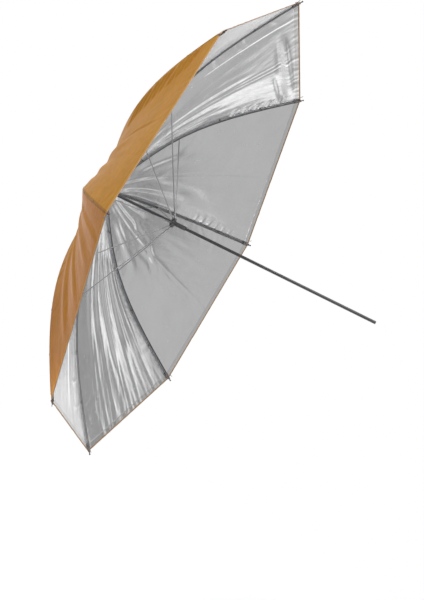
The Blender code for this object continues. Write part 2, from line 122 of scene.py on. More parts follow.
LINE = read_rib_line()
PROFILE = np.polynomial.Polynomial.fit(LINE[:, 0], LINE[:, 1], 6)
SPARE = 0.006  # the line is carried on this far past both of the cloth's edges
RADII = np.linspace(INNER_RADIUS - SPARE, LINE[-1, 0] + SPARE, 1200)
ARCS = np.concatenate([[0], np.cumsum(np.hypot(np.diff(RADII), np.diff(PROFILE(RADII))))])
ARCS -= np.interp(INNER_RADIUS, RADII, ARCS)
RIM = float(LINE[-1, 0] + RIM_OVERHANG)
LENGTH = float(np.interp(RIM, RADII, ARCS))


def half_chord(radius):
    """Half the straight distance between neighbouring ribs at this radius."""
    return radius * math.sin(STEP / 2)


def soft_step(value):
    """0 up to 0, 1 from 1 on, and smooth between."""
    value = np.clip(value, 0, 1)
    return value * value * (3 - 2 * value)


def rib_line(arc):
    """x, radius and slope of the cloth's middle line over a rib, at arc lengths from its inner edge."""
    radius = np.interp(arc, ARCS, RADII)
    return PROFILE(radius), radius, np.arctan(PROFILE.deriv()(radius))


# ---- creases ----


class Creases:
    """Long soft folds on one panel, each between two points given as (share across, share along)."""

    def __init__(self):
        self.folds = []

    def add(self, start, end, height, width, bow=0.0):
        """A fold of this height and half width, whose middle bows sideways."""
        self.folds.append((start, end, height, width, bow))

    def height(self, share, along):
        """Height towards the open side, at shares across the panel and along it."""
        x, y = across_metres(share, along), along * LENGTH
        return sum((fold_height(x, y, *fold) for fold in self.folds), np.zeros_like(share))


def fold_height(x, y, start, end, height, width, bow):
    """One fold: a ridge with a shallower valley beside it, which widens and fades out at both ends."""
    x0, y0 = across_metres(*start), start[1] * LENGTH
    x1, y1 = across_metres(*end), end[1] * LENGTH
    dx, dy = x1 - x0, y1 - y0
    length = math.hypot(dx, dy)
    t = ((x - x0) * dx + (y - y0) * dy) / length**2
    inside = np.clip(t, 0, 1)
    off = ((x - x0) * dy - (y - y0) * dx) / length - bow * np.sin(inside * math.pi)
    fade = soft_step(np.clip(t * 4, 0, 1) * np.clip((1 - t) * 4, 0, 1))
    spread = width * (0.55 + 0.45 * inside)
    ridge = np.exp(-((off / spread) ** 2)) - 0.5 * np.exp(-(((off + 1.7 * spread) / spread) ** 2))
    return height * fade * ridge


def across_metres(share, along):
    """Distance across a panel from its middle line."""
    radius = np.interp(np.asarray(along) * LENGTH, ARCS, RADII)
    return (np.asarray(share) - 0.5) * 2 * half_chord(radius)


def pulled_folds(panel, rng):
    """Folds of every panel: one kept from storage down its middle, and slack that runs out from the crown."""
    panel.add((0.5, 0.10), (0.5 + rng.uniform(-0.02, 0.02), 1.0), 0.0009, 0.0045, rng.uniform(-0.004, 0.004))
    for i in range(9):
        w = 0.10 + 0.80 * (i + rng.uniform(0.2, 0.8)) / 9
        s0, s1 = rng.uniform(0.03, 0.25), rng.uniform(0.5, 1.0)
        end = 0.5 + (w - 0.5) * rng.uniform(0.8, 1.1)
        height, width = rng.uniform(0.0003, 0.0008), rng.uniform(0.010, 0.017)
        panel.add((w, s0), (end, s1), height, width, rng.uniform(-0.008, 0.008))


def edge_puckers(panel, rng):
    """Short puckers that leave both seams slantwise, and others that cross the hem."""
    for i in range(16):
        side = i % 2
        s = rng.uniform(0.12, 0.92)
        start = 0.015 if side else 0.985
        reach = rng.uniform(0.08, 0.2) * (1 if side else -1)
        turn = rng.uniform(-0.05, 0.07)
        height, width = rng.uniform(0.0002, 0.00045), rng.uniform(0.007, 0.011)
        panel.add((start, s), (start + reach, s + turn), height, width)
    for _ in range(10):
        w = rng.uniform(0.06, 0.94)
        start = (w, 0.87 + rng.uniform(0, 0.05))
        end = (w + rng.uniform(-0.02, 0.02), 1.06)
        panel.add(start, end, rng.uniform(0.00015, 0.00035), 0.008)


def slack_top_panel(panel):
    """Panel 7, at the top: long creases from the crown, puckers along rib 8 and a fold behind the hem."""
    panel.add((0.53, 0.34), (0.48, 1.02), 0.0022, 0.0055)
    panel.add((0.62, 0.30), (0.57, 0.80), 0.0014, 0.0100, 0.004)
    panel.add((0.90, 0.50), (0.89, 1.02), 0.0013, 0.0055)
    panel.add((0.82, 0.925), (0.00, 0.955), 0.0046, 0.0150)
    panel.add((0.42, 0.880), (0.00, 0.925), -0.0026, 0.0120)
    for i in range(5):
        s = 0.665 + 0.056 * i
        panel.add((-0.05, s - 0.012), (0.15 - 0.012 * i, s + 0.03), 0.0034, 0.0066)
    for i in range(4):
        panel.add((0.12 + 0.1 * i, 0.26), (0.10 + 0.07 * i, 0.56 + 0.03 * i), 0.0020, 0.0085)


def gathered_side_panels(upper, lower):
    """Panels 6 and 5, beside the shaft: gathers near the crown, and small puckers along rib 7."""
    upper.add((0.36, 0.10), (0.24, 0.62), 0.0046, 0.0140, 0.004)
    upper.add((0.13, 0.14), (0.07, 0.56), 0.0034, 0.0100)
    upper.add((0.69, 0.06), (0.54, 0.38), 0.0024, 0.0095)
    upper.add((0.80, 0.16), (0.80, 0.48), 0.0032, 0.0140)
    upper.add((0.52, 0.28), (0.31, 0.74), 0.0030, 0.0200, 0.006)
    for i in range(6):
        s = 0.66 + 0.042 * i
        upper.add((-0.04, s - 0.014), (0.10 - 0.006 * i, s + 0.012), 0.0011, 0.0055)
    lower.add((0.60, 0.06), (0.57, 0.36), 0.0028, 0.0100)
    lower.add((0.78, 0.10), (0.72, 0.40), 0.0018, 0.0110, 0.003)
    lower.add((0.67, 0.30), (0.60, 0.50), 0.0016, 0.0110)
    lower.add((0.51, 0.34), (0.50, 0.54), 0.0018, 0.0110, 0.003)
    lower.add((0.42, 0.42), (0.47, 0.68), 0.0018, 0.0100, 0.006)
    lower.add((0.58, 0.46), (0.40, 0.64), 0.0014, 0.0095, -0.005)
    lower.add((0.28, 0.16), (0.22, 0.52), 0.0022, 0.0110, 0.004)


def fanned_low_panel(panel):
    """Panel 4, at the bottom: a fan of long creases from the crown to the hem."""
    panel.add((0.60, 0.22), (0.51, 0.84), 0.0034, 0.0105)
    panel.add((0.80, 0.22), (0.70, 0.82), 0.0028, 0.0105)
    panel.add((0.90, 0.22), (0.83, 0.78), 0.0018, 0.0105)
    panel.add((0.42, 0.22), (0.36, 0.70), 0.0014, 0.0105)
    for i in range(8):
        w = 0.13 + 0.10 * i
        start = (w + 0.05, 0.50 + 0.03 * (i % 3))
        panel.add(start, (w, 1.05), 0.0004 + 0.00015 * (i % 3), 0.0078, 0.003 * (i % 3 - 1))


def outer_panels(near, far):
    """Panels 1 and 2, seen from the gold side: wrinkles off rib 2, and long folds beside rib 3."""
    for i in range(9):
        s = 0.46 + 0.05 * i
        near.add((-0.02, s + 0.04), (0.26 - 0.014 * i, s - 0.01), -0.0022, 0.0085, 0.003 * (i % 3 - 1))
    near.add((0.30, 0.20), (0.55, 0.70), -0.0026, 0.0180, 0.006)
    near.add((0.55, 0.15), (0.80, 0.60), -0.0020, 0.0150, -0.005)
    near.add((0.85, 0.10), (0.90, 0.60), -0.0012, 0.0100)
    for start, end in ((0.20, 0.30), (0.45, 0.52), (0.70, 0.72)):
        far.add((start, 0.20), (end, 1.0), -0.0024, 0.0150, 0.004)
    far.add((0.12, 0.50), (0.16, 1.02), -0.0016, 0.0100)


def other_panels(before, after):
    """Panels 3 and 0: short slanting folds off one rib."""
    for i in range(4):
        before.add((0.98, 0.52 + 0.1 * i), (0.62, 0.60 + 0.1 * i), 0.0020, 0.0080, 0.004)
        after.add((0.02, 0.40 + 0.13 * i), (0.40, 0.46 + 0.13 * i), 0.0012, 0.0080, -0.004)


def panel_creases():
    """Folds of the eight panels."""
    panels = [Creases() for _ in range(RIBS)]
    rng = np.random.default_rng(7)
    for panel in panels:
        pulled_folds(panel, rng)
        edge_puckers(panel, rng)
    slack_top_panel(panels[7])
    gathered_side_panels(panels[6], panels[5])
    fanned_low_panel(panels[4])
    outer_panels(panels[1], panels[2])
    other_panels(panels[3], panels[0])
    return panels


CREASES = panel_creases()


# ---- the canopy's surface ----


def turn_x(points, angle):
    """Points turned about the shaft."""
    c, s = math.cos(angle), math.sin(angle)
    x, y, z = points[..., 0], points[..., 1], points[..., 2]
    return np.stack([x, y * c - z * s, y * s + z * c], axis=-1)


def panel_surface(panel, share, arc):
    """Points of the cloth's middle surface on a panel, at shares across it from its first rib, before
    creases. Across it the cloth is straight, dips to the open side and turns softly over both ribs."""
    x, radius, slope = rib_line(arc)
    half = STEP / 2
    chord = 2 * half_chord(radius)
    depth = PANEL_DIPS[panel] * np.sin(math.pi * np.clip(arc / LENGTH, 0, 1))
    steep = math.tan(half) * np.sin(slope) + 4 * depth / chord
    to_rib = np.minimum(share, 1 - share) * chord
    dip = depth * 4 * share * (1 - share) + steep * (np.hypot(to_rib, RIDGE_ROUND) - to_rib - RIDGE_ROUND)
    # The panel's own frame has its middle line in the plane y = 0.
    across = (0.5 - share) * chord
    up = radius * math.cos(half) - dip * np.sin(slope)
    points = np.stack([x + dip * np.cos(slope), across, up], axis=-1)
    return turn_x(points, STEP * (panel + 0.5))


def numeric_normals(surface, panel, share, arc):
    """Unit normals of a surface(panel, share, arc), towards the open side."""
    e, d = 1e-3, 4e-4
    along = surface(panel, share, arc + d) - surface(panel, share, arc - d)
    across = surface(panel, share + e, arc) - surface(panel, share - e, arc)
    normal = np.cross(along, across)
    normal /= np.linalg.norm(normal, axis=-1, keepdims=True)
    return np.where(normal[..., :1] < 0, -normal, normal)


def seam_height(panel, to_rib, arc):
    """Cloth is drawn into small waves beside a seam, and the seam itself stands out to the gold side."""
    beside = np.exp(-(((to_rib - PUCKER_PLACE) / PUCKER_SPREAD) ** 2))
    waves = PUCKER_HEIGHT * np.sin(arc * 2 * math.pi / PUCKER_PITCH + panel) * beside
    return waves - SEAM_RISE * np.clip((SEAM_HALF - to_rib) * 2 / FOLD_WIDTH + 0.5, 0, 1)


def hem_height(panel, to_rib, from_hem):
    """The hem is turned in on the open side, and its stitching draws the cloth into small waves."""
    fold = HEM_STEP * np.clip((HEM_WIDTH - from_hem) / FOLD_WIDTH + 0.5, 0, 1)
    near = np.exp(-(((from_hem - HEM_WIDTH) / PUCKER_PLACE) ** 2)) * np.clip(to_rib / 0.02, 0, 1)
    return fold + PUCKER_HEIGHT * np.sin(to_rib * 2 * math.pi / PUCKER_PITCH + panel) * near


def creased_surface(panel, share, arc):
    """Points of the same surface with its creases, seams and hem."""
    normal = numeric_normals(panel_surface, panel, share, arc)
    to_rib = np.minimum(share, 1 - share) * 2 * half_chord(np.interp(arc, ARCS, RADII))
    off_rib = np.clip((to_rib - STILL_BY_RIB) / FREE_OVER_RIB, 0, 1)
    off_crown = np.clip((arc - STILL_BY_CROWN) / FREE_OVER_CROWN, 0, 1)
    height = CREASES[panel].height(share, arc / LENGTH) * soft_step(off_rib * off_crown)
    height = height + seam_height(panel, to_rib, arc) + hem_height(panel, to_rib, LENGTH - arc)
    return panel_surface(panel, share, arc) + normal * height[..., None]


def gore_halves(index, across):
    """The two halves of a gore, each as its columns, its panel and their shares across that panel. Across
    runs from -1, the middle of the panel before the rib, to 1, the middle of the one after."""
    before = across < 0
    yield before, (index - 1) % RIBS, 1 + across[before] / 2
    yield ~before, index, across[~before] / 2


def gore_grid(index):
    """Points, normals and cloth coordinates of one gore as (along, across) arrays."""
    even = np.linspace(-1, 1, ACROSS + 1)
    across = np.sign(even) * (0.75 * np.abs(even) + 0.25 * even**2)  # closer together near the rib
    arc = np.linspace(0, LENGTH - LAST_EVEN_ROW, ALONG + 1 - len(HEM_ROWS))
    arc = np.concatenate([arc, LENGTH - np.array(HEM_ROWS)])
    points = np.zeros((ALONG + 1, ACROSS + 1, 3))
    normals = np.zeros_like(points)
    for columns, panel, share in gore_halves(index, across):
        w, s = np.meshgrid(share, arc)
        points[:, columns] = creased_surface(panel, w, s)
        normals[:, columns] = numeric_normals(creased_surface, panel, w, s)
    # On the rib itself both panels meet, so its normal is the mean of both sides.
    middle = ACROSS // 2
    mean = normals[:, middle - 1] + normals[:, middle + 1]
    normals[:, middle] = mean / np.linalg.norm(mean, axis=-1, keepdims=True)
    cloth = np.zeros((ALONG + 1, ACROSS + 1, 2))
    cloth[..., 0] = across[None, :] * half_chord(np.interp(arc, ARCS, RADII))[:, None]
    cloth[..., 1] = arc[:, None]
    return points, normals, cloth


def sheet_faces(rows, columns):
    """Faces of a closed sheet's gold side, silver side and rim. Its gold points come first."""
    count = rows * columns
    ids = np.arange(count).reshape(rows, columns)
    a, b, c, d = (grid.ravel() for grid in (ids[:-1, :-1], ids[:-1, 1:], ids[1:, 1:], ids[1:, :-1]))
    gold = np.stack([a, b, c, d], axis=1)
    ring = np.concatenate([ids[0, :-1], ids[:-1, -1], ids[-1, :0:-1], ids[:0:-1, 0]])
    after = np.roll(ring, -1)
    rim = np.stack([ring + count, after + count, after, ring], axis=1)
    return gold, gold[:, ::-1] + count, rim


def closed_sheet(name, points, normals, cloth, finishes):
    """A closed thin sheet from a grid of points, with a finish for each side and one for its rim."""
    rows, columns = points.shape[:2]
    count = rows * columns
    outer = (points - normals * CLOTH / 2).reshape(-1, 3)
    inner = (points + normals * CLOTH / 2).reshape(-1, 3)
    sides = sheet_faces(rows, columns)
    mesh = bpy.data.meshes.new(name)
    mesh.from_pydata(np.concatenate([outer, inner]), [], np.concatenate(sides))
    for finish in finishes:
        mesh.materials.append(finish)
    side_of_face = np.repeat(np.arange(len(sides)), [len(side) for side in sides])
    mesh.polygons.foreach_set("material_index", side_of_face.astype(np.int32))
    loops = np.zeros(len(mesh.loops), np.int32)
    mesh.loops.foreach_get("vertex_index", loops)
    layer = mesh.uv_layers.new(name="cloth")
    layer.data.foreach_set("uv", cloth.reshape(-1, 2)[loops % count].astype(np.float32).ravel())
    # Both sides get the surface's own normals, so that neighbouring gores shade as one sheet. A zero
    # leaves the rim with its own.
    unit = normals.reshape(-1, 3)[loops % count]
    unit = np.where((loops < count)[:, None], -unit, unit)
    unit[np.repeat(side_of_face, 4) == 2] = 0
    mesh.shade_smooth()
    mesh.normals_split_custom_set(unit.tolist())
    return mesh


# ---- materials ----


class Nodes:
    """A short way to write a node material. Keywords are its shader's own values, with _ for a space."""

    def __init__(self, name, **shader):
        self.material = bpy.data.materials.new(name)
        self.material.use_nodes = True
        self.tree = self.material.node_tree
        self.shader = self.tree.nodes["Principled BSDF"]
        for key, value in shader.items():
            self.shader.inputs[key.replace("_", " ")].default_value = value

    def feed(self, value, target):
        """Links a socket to an input, or sets the input's own value."""
        if isinstance(value, bpy.types.NodeSocket):
            self.tree.links.new(value, target)
        else:
            target.default_value = value

    def add(self, kind, settings=None, **inputs):
        """A new node with these settings and inputs."""
        node = self.tree.nodes.new(kind)
        for key, value in (settings or {}).items():
            setattr(node, key, value)
        for key, value in inputs.items():
            self.feed(value, node.inputs[key.replace("_", " ")])
        return node

    def math(self, operation, *values):
        node = self.add("ShaderNodeMath", {"operation": operation})
        for value, target in zip(values, node.inputs):
            self.feed(value, target)
        return node.outputs[0]

    def wave(self, value, pitch):
        return self.math("SINE", self.math("MULTIPLY", value, 2 * math.pi / pitch))

    def remap(self, value, low, high, to_low=0.0, to_high=1.0):
        node = self.add("ShaderNodeMapRange", {"interpolation_type": "SMOOTHSTEP"}, Value=value)
        for key, number in zip(("From Min", "From Max", "To Min", "To Max"), (low, high, to_low, to_high)):
            node.inputs[key].default_value = number
        return node.outputs[0]

    def line(self, value, place, inner, outer):
        """1 where a value is near a place, and 0 from a distance on."""
        return self.remap(self.math("ABSOLUTE", self.math("SUBTRACT", value, place)), inner, outer, 1.0, 0.0)

    def stretched(self, where, along):
        """Coordinates for a texture that is longer along the cloth than across it."""
        node = self.add("ShaderNodeMapping", Vector=where)
        node.inputs["Scale"].default_value = (1.0, along, 1.0)
        return node.outputs[0]

    def mix(self, factor, first, second):
        """Two colours mixed. Each is a socket or three numbers."""
        node = self.add("ShaderNodeMix", {"data_type": "RGBA"})
        self.feed(factor, node.inputs[0])
        # A mix node's inputs 6 and 7 are its two colours.
        for colour, target in ((first, node.inputs[6]), (second, node.inputs[7])):
            self.feed((*colour, 1) if isinstance(colour, tuple) else colour, target)
        return node.outputs[2]

    def drive(self, key, value):
        """Links a socket to one of the shader's inputs."""
        self.tree.links.new(value, self.shader.inputs[key])

    def bump(self, height, distance, strength=1.0, normal=None):
        node = self.add("ShaderNodeBump", Height=height, Distance=distance, Strength=strength)
        if normal is not None:
            self.tree.links.new(normal, node.inputs["Normal"])
        self.drive("Normal", node.outputs[0])
        return node.outputs[0]


def sewn_marks(n, across, along):
    """Masks of the seam over the rib, painted shade along the seam's edge beside it, the hem, and both rows
    of stitches.
    """
    off_seam = n.math("ABSOLUTE", across)
    from_hem = n.math("SUBTRACT", LENGTH, along)
    seam = n.remap(off_seam, SEAM_HALF * 0.8, SEAM_HALF * 1.3, 1.0, 0.0)
    # A thin line just outside the seam, which is darkened as painted shade.
    groove_shade = n.line(off_seam, SEAM_HALF * 1.15, 0.0004, 0.0012)
    hem = n.remap(from_hem, HEM_WIDTH * 0.95, HEM_WIDTH * 1.05, 1.0, 0.0)
    seam_row = n.line(off_seam, SEAM_HALF * 0.55, 0.0002, 0.0005)
    hem_row = n.line(from_hem, HEM_WIDTH * 0.85, 0.0002, 0.0005)
    seam_gap = n.remap(n.wave(along, STITCH_PITCH), -0.5, 0.0)
    hem_gap = n.math("MULTIPLY", n.remap(n.wave(across, STITCH_PITCH), -0.5, 0.0), 0.4)
    stitches = n.math("MAXIMUM", n.math("MULTIPLY", seam_row, seam_gap), n.math("MULTIPLY", hem_row, hem_gap))
    return seam, groove_shade, hem, stitches


def cloth_material(name, colours, seam_colour, hem_painted_light, roughness, shader):
    """Metallised satin: a fine weave, long soft ripples, stitched seams over the ribs and a turned hem, with
    painted shade beside the seams and painted light on the hem band.
    """
    n = Nodes(name, **shader)
    uv = n.add("ShaderNodeUVMap", {"uv_map": "cloth"}).outputs[0]
    split = n.add("ShaderNodeSeparateXYZ", Vector=uv)
    across, along = split.outputs[0], split.outputs[1]
    weave = n.math("MULTIPLY", n.wave(across, THREAD_PITCH), n.wave(along, THREAD_PITCH))
    ripples = n.add("ShaderNodeTexNoise", Vector=n.stretched(uv, 0.28), Scale=24.0, Detail=3.0, Roughness=0.5)
    crumple = n.add("ShaderNodeTexNoise", Vector=uv, Scale=80.0, Detail=3.0, Roughness=0.55)
    cloudy = n.add("ShaderNodeTexNoise", Vector=uv, Scale=9.0, Detail=5.0, Roughness=0.6)
    threads = n.add("ShaderNodeTexNoise", Vector=n.stretched(uv, 0.03), Scale=420.0, Detail=2.0)
    seam, groove_shade, hem, stitches = sewn_marks(n, across, along)
    shade = n.mix(n.remap(cloudy.outputs[0], 0.3, 0.7), *colours)
    shade = n.mix(n.remap(threads.outputs[0], 0.35, 0.75, 0.0, 0.12), shade, colours[1])
    # Painted light on the hem band: the gold's is painted lighter and more orange as a painted reflection,
    # the silver's darker as painted shade.
    shade = n.mix(n.math("MULTIPLY", hem, 0.8), shade, hem_painted_light)
    shade = n.mix(n.math("MULTIPLY", seam, 0.55), shade, seam_colour)
    # Painted shade: the line beside the seam is darkened in the seam's colour.
    shade = n.mix(n.math("MULTIPLY", groove_shade, 0.6), shade, seam_colour)
    shade = n.mix(n.math("MULTIPLY", stitches, 0.8), shade, tuple(c * 0.7 for c in seam_colour))
    n.drive("Base Color", shade)
    n.drive("Roughness", n.remap(crumple.outputs[0], 0.3, 0.75, roughness * 0.88, roughness * 1.15))
    tall = n.math("ADD", ripples.outputs[0], n.math("MULTIPLY", crumple.outputs[0], 0.06))
    soft = n.bump(tall, 0.0042, 0.5)
    fine = n.math("ADD", n.math("MULTIPLY", weave, 0.035), n.math("MULTIPLY", stitches, 0.4))
    n.bump(fine, 0.0001, 0.5, soft)
    return n.material


GOLD = cloth_material(
    "gold_cloth",
    ((0.66, 0.315, 0.062), (0.58, 0.265, 0.048)),
    (0.30, 0.14, 0.04),
    # the hem band: lighter and more orange, a painted reflection
    (0.72, 0.38, 0.095),
    0.36,
    dict(
        Metallic=0.90,
        Specular_Tint=(0.97, 0.58, 0.17, 1.0),
        Sheen_Weight=0.22,
        Sheen_Roughness=0.30,
        Sheen_Tint=(1.0, 0.84, 0.80, 1.0),
    ),
)
SILVER = cloth_material(
    "silver_cloth",
    ((0.90, 0.90, 0.905), (0.86, 0.86, 0.87)),
    (0.58, 0.58, 0.59),
    # the hem band: darker, painted shade
    (0.74, 0.73, 0.72),
    0.24,
    dict(Metallic=1.0, Anisotropic=0.3),
)


def textile_material(name, dark, light, metallic=0.0):
    """Thread or narrow tape: matt fibres, uneven in colour."""
    n = Nodes(name, Metallic=metallic, Roughness=0.65)
    where = n.add("ShaderNodeTexCoord").outputs["Object"]
    fibres = n.add("ShaderNodeTexNoise", Vector=where, Scale=900.0, Detail=3.0)
    n.drive("Base Color", n.mix(n.remap(fibres.outputs[0], 0.3, 0.7), dark, light))
    n.bump(fibres.outputs[0], 0.0002)
    return n.material


EDGE = textile_material("hem_binding", (0.32, 0.18, 0.085), (0.48, 0.30, 0.15), 0.3)
THREAD = textile_material("sewing_thread", (0.10, 0.085, 0.075), (0.20, 0.17, 0.15))
TAPE = textile_material("pocket_tape", (0.28, 0.27, 0.265), (0.40, 0.385, 0.38))


def metal_material(name, colour, wear_colour, roughness, metallic, wear):
    """Coated or drawn metal: fine grain, cloudy sheen, and bare edges where it rubs."""
    n = Nodes(name, Metallic=metallic)
    where = n.add("ShaderNodeTexCoord").outputs["Object"]
    grain = n.add("ShaderNodeTexNoise", Vector=where, Scale=700.0, Detail=4.0, Roughness=0.7)
    cloud = n.add("ShaderNodeTexNoise", Vector=where, Scale=45.0, Detail=5.0, Roughness=0.65)
    edge = n.add("ShaderNodeNewGeometry").outputs["Pointiness"]
    worn = n.math("MULTIPLY", n.remap(edge, 0.52, 0.62), n.remap(cloud.outputs[0], 0.4, 0.65, 0.2, 1.0))
    base = n.mix(n.remap(cloud.outputs[0], 0.3, 0.7), colour, tuple(c * 0.72 for c in colour))
    n.drive("Base Color", n.mix(n.math("MULTIPLY", worn, wear), base, wear_colour))
    n.drive("Roughness", n.remap(grain.outputs[0], 0.25, 0.75, roughness * 0.8, roughness * 1.25))
    n.bump(grain.outputs[0], 0.00002, 0.4)
    return n.material


def plastic_material(name, colour, roughness):
    """Moulded plastic: a fine even grain with slight sink marks and rubbed edges."""
    n = Nodes(name, Metallic=0.0)
    where = n.add("ShaderNodeTexCoord").outputs["Object"]
    grain = n.add("ShaderNodeTexVoronoi", Vector=where, Scale=1600.0)
    cloud = n.add("ShaderNodeTexNoise", Vector=where, Scale=120.0, Detail=4.0)
    edge = n.add("ShaderNodeNewGeometry").outputs["Pointiness"]
    light = tuple(min(1.0, c * 2.2 + 0.01) for c in colour)
    base = n.mix(n.remap(cloud.outputs[0], 0.3, 0.7), colour, tuple(c * 0.8 for c in colour))
    n.drive("Base Color", n.mix(n.math("MULTIPLY", n.remap(edge, 0.52, 0.64), 0.5), base, light))
    n.drive("Roughness", n.remap(cloud.outputs[0], 0.3, 0.7, roughness * 0.85, roughness * 1.15))
    n.bump(grain.outputs[0], 0.00006, 0.5)
    return n.material


FINISHES = {
    "black_metal": metal_material("shaft_coat", (0.085, 0.086, 0.09), (0.35, 0.34, 0.33), 0.36, 0.55, 0.12),
    "rib_steel": metal_material("rib_coat", (0.35, 0.352, 0.36), (0.50, 0.50, 0.50), 0.40, 0.7, 0.5),
    "bright_steel": metal_material("drawn_steel", (0.46, 0.46, 0.47), (0.66, 0.66, 0.66), 0.32, 0.9, 0.4),
    "black_plastic": plastic_material("moulded_black", (0.075, 0.075, 0.078), 0.45),
    "brown_cap": plastic_material("moulded_brown", (0.07, 0.045, 0.032), 0.5),
    "canopy_fabric": GOLD,
}


def dress_frame():
    """The frame's own nodes get the finish of their material slot."""
    slots = {row["node"]: row["material_slot"] for row in frame["record"]["subparts"]}
    for name, obj in frame["nodes"].items():
        obj.data.materials.clear()
        obj.data.materials.append(FINISHES[slots[name]])


# ---- pieces ----


def add_piece(name, mesh, index):
    """A sewn piece that rides on this rib."""
    obj = bpy.data.objects.new(name, mesh)
    bpy.context.scene.collection.objects.link(obj)
    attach(obj, f"rib_{index + 1}")
    return obj


def rib_axis(index):
    """The hinge axis of a rib: across its plane."""
    return (0, math.cos(STEP * index), math.sin(STEP * index))


def fold_with_rib(obj):
    """Gives a piece its own copy of its mesh."""
    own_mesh(obj)


def hem_points(index, profile):
    """Rows of points along a gore's hem, one for each (distance in from the edge, lift to the open side)."""
    across = np.linspace(-1, 1, EDGE_STATIONS)
    rows = np.zeros((len(profile), EDGE_STATIONS, 3))
    for row, (back, lift) in zip(rows, profile):
        for columns, panel, share in gore_halves(index, across):
            arc = np.full(share.shape, LENGTH - back)
            normal = numeric_normals(creased_surface, panel, share, arc)
            row[columns] = creased_surface(panel, share, arc) + normal * lift
    return rows


def make_edge(index):
    """The hem's turned edge: a narrow folded tape over the cloth's rim, as a flattened tube."""
    half = CLOTH / 2 + EDGE_TAPE
    upper = [(0.0028, half), (EDGE_TAPE, half), (-0.0005, half * 0.5)]
    grid = hem_points(index, upper + [(back, -lift) for back, lift in reversed(upper)])
    rows, columns = grid.shape[:2]
    ids = np.arange(rows * columns).reshape(rows, columns)
    low, high = ids, np.roll(ids, -1, axis=0)
    faces = np.stack([low[:, :-1], low[:, 1:], high[:, 1:], high[:, :-1]], axis=-1).reshape(-1, 4)
    caps = [ids[:, 0].tolist(), ids[::-1, -1].tolist()]
    blank = bpy.data.meshes.new(f"hem_edge_blank_{index + 1}")
    blank.from_pydata(grid.reshape(-1, 3), [], [*faces.tolist(), *caps])
    bm = bmesh.new()
    bm.from_mesh(blank)
    bpy.data.meshes.remove(blank)
    name = f"hem_edge_{index + 1}"
    edge = add_piece(name, finish_mesh(bm, name, EDGE), index)
    fold_with_rib(edge)
    return edge


def rib_frame(index, arc):
    """The cloth's point over a rib, the direction along it and the one to the open side."""
    x, radius, slope = rib_line(np.array([arc]))
    x, radius, slope = float(x[0]), float(radius[0]), float(slope[0])
    out = Vector((0, -math.sin(STEP * index), math.cos(STEP * index)))
    at = Vector((x, 0, 0)) + out * radius
    along = Vector((math.sin(slope), 0, 0)) + out * math.cos(slope)
    inward = Vector((math.cos(slope), 0, 0)) - out * math.sin(slope)
    return at, along, inward


def sweep(bm, path, radii, sides=10, closed=False):
    """Adds a tube along points to a bmesh, round in section, with a radius at each point."""
    rings = []
    count = len(path)
    lead = None
    for i, point in enumerate(path):
        before = path[i - 1] if (i or closed) else point
        after = path[(i + 1) % count] if (i + 1 < count or closed) else point
        way = (after - before).normalized()
        lead = way.orthogonal().normalized() if lead is None else (lead - way * lead.dot(way)).normalized()
        side = way.cross(lead)
        ring = []
        for k in range(sides):
            turn = 2 * math.pi * k / sides
            ring.append(bm.verts.new(point + (lead * math.cos(turn) + side * math.sin(turn)) * radii[i]))
        rings.append(ring)
    pairs = list(zip(rings, rings[1:]))
    if closed:
        pairs.append((rings[-1], rings[0]))
    for low, high in pairs:
        for k in range(sides):
            nxt = (k + 1) % sides
            bm.faces.new((low[k], low[nxt], high[nxt], high[k]))
    if not closed:
        bm.faces.new(rings[0][::-1])
        bm.faces.new(rings[-1])


def finish_mesh(bm, name, material):
    """The mesh of a bmesh, which is freed, with its faces outward, smooth and in this material."""
    bmesh.ops.recalc_face_normals(bm, faces=bm.faces)
    mesh = bpy.data.meshes.new(name)
    bm.to_mesh(mesh)
    bm.free()
    mesh.materials.append(material)
    mesh.shade_smooth()
    return mesh


def squared(value, power):
    """A sine or cosine pushed towards 1, which turns a circle into a rounded box."""
    return math.copysign(abs(value) ** power, value)


def make_ties(index):
    """Thread ties that are sewn through the seam and round the rib, each of a few turns side by side."""
    bm = bmesh.new()
    wide = RIB_HALF + TIE_GAP
    low, high = -0.0008, RIB_DEPTH + 0.0004
    sideways = Vector(rib_axis(index))
    for arc in TIE_ARCS:
        for turn in range(TIE_TURNS):
            # The turns lie side by side with a hair's breadth between them.
            here = arc + (turn - (TIE_TURNS - 1) / 2) * THREAD_RADIUS * 2.1
            at, _, inward = rib_frame(index, here)
            path = []
            for k in range(24):
                angle = 2 * math.pi * k / 24
                across = wide * squared(math.cos(angle), 0.4)
                up = (low + high) / 2 + (high - low) / 2 * squared(math.sin(angle), 0.4)
                path.append(at + sideways * across + inward * up)
            sweep(bm, path, [THREAD_RADIUS] * len(path), 6, closed=True)
    name = f"rib_ties_{index + 1}"
    return add_piece(name, finish_mesh(bm, name, THREAD), index)


def make_tail(index):
    """The end of the hem's binding tape, left as a short twisted tail beside the rib's tip."""
    bm = bmesh.new()
    at, along, inward = rib_frame(index, LENGTH - 0.0030)
    sideways = -Vector(rib_axis(index))
    start = at + sideways * 0.0095 - along * 0.0045 - inward * 0.0002
    path, radii = [], []
    for k in range(9):
        t = k / 8
        curl = sideways * (0.0035 * t * t) + inward * (0.0016 * math.sin(2.4 * t))
        path.append(start + along * (0.0125 * t) + curl)
        radii.append(0.0010 * (1 - 0.45 * t) + 0.00012 * math.sin(9 * t))
    sweep(bm, path, radii, 8)
    name = f"hem_tail_{index + 1}"
    tail = add_piece(name, finish_mesh(bm, name, THREAD), index)
    fold_with_rib(tail)
    return tail


# Sections of the pocket round a rib's end: distance from the hem, half width and height.
POCKET = (
    (0.0190, 0.0030, 0.0044),
    (0.0170, 0.0036, 0.0049),
    (0.0060, 0.0033, 0.0049),
    (0.0012, 0.0026, 0.0044),
)
POCKET_STEPS = 12


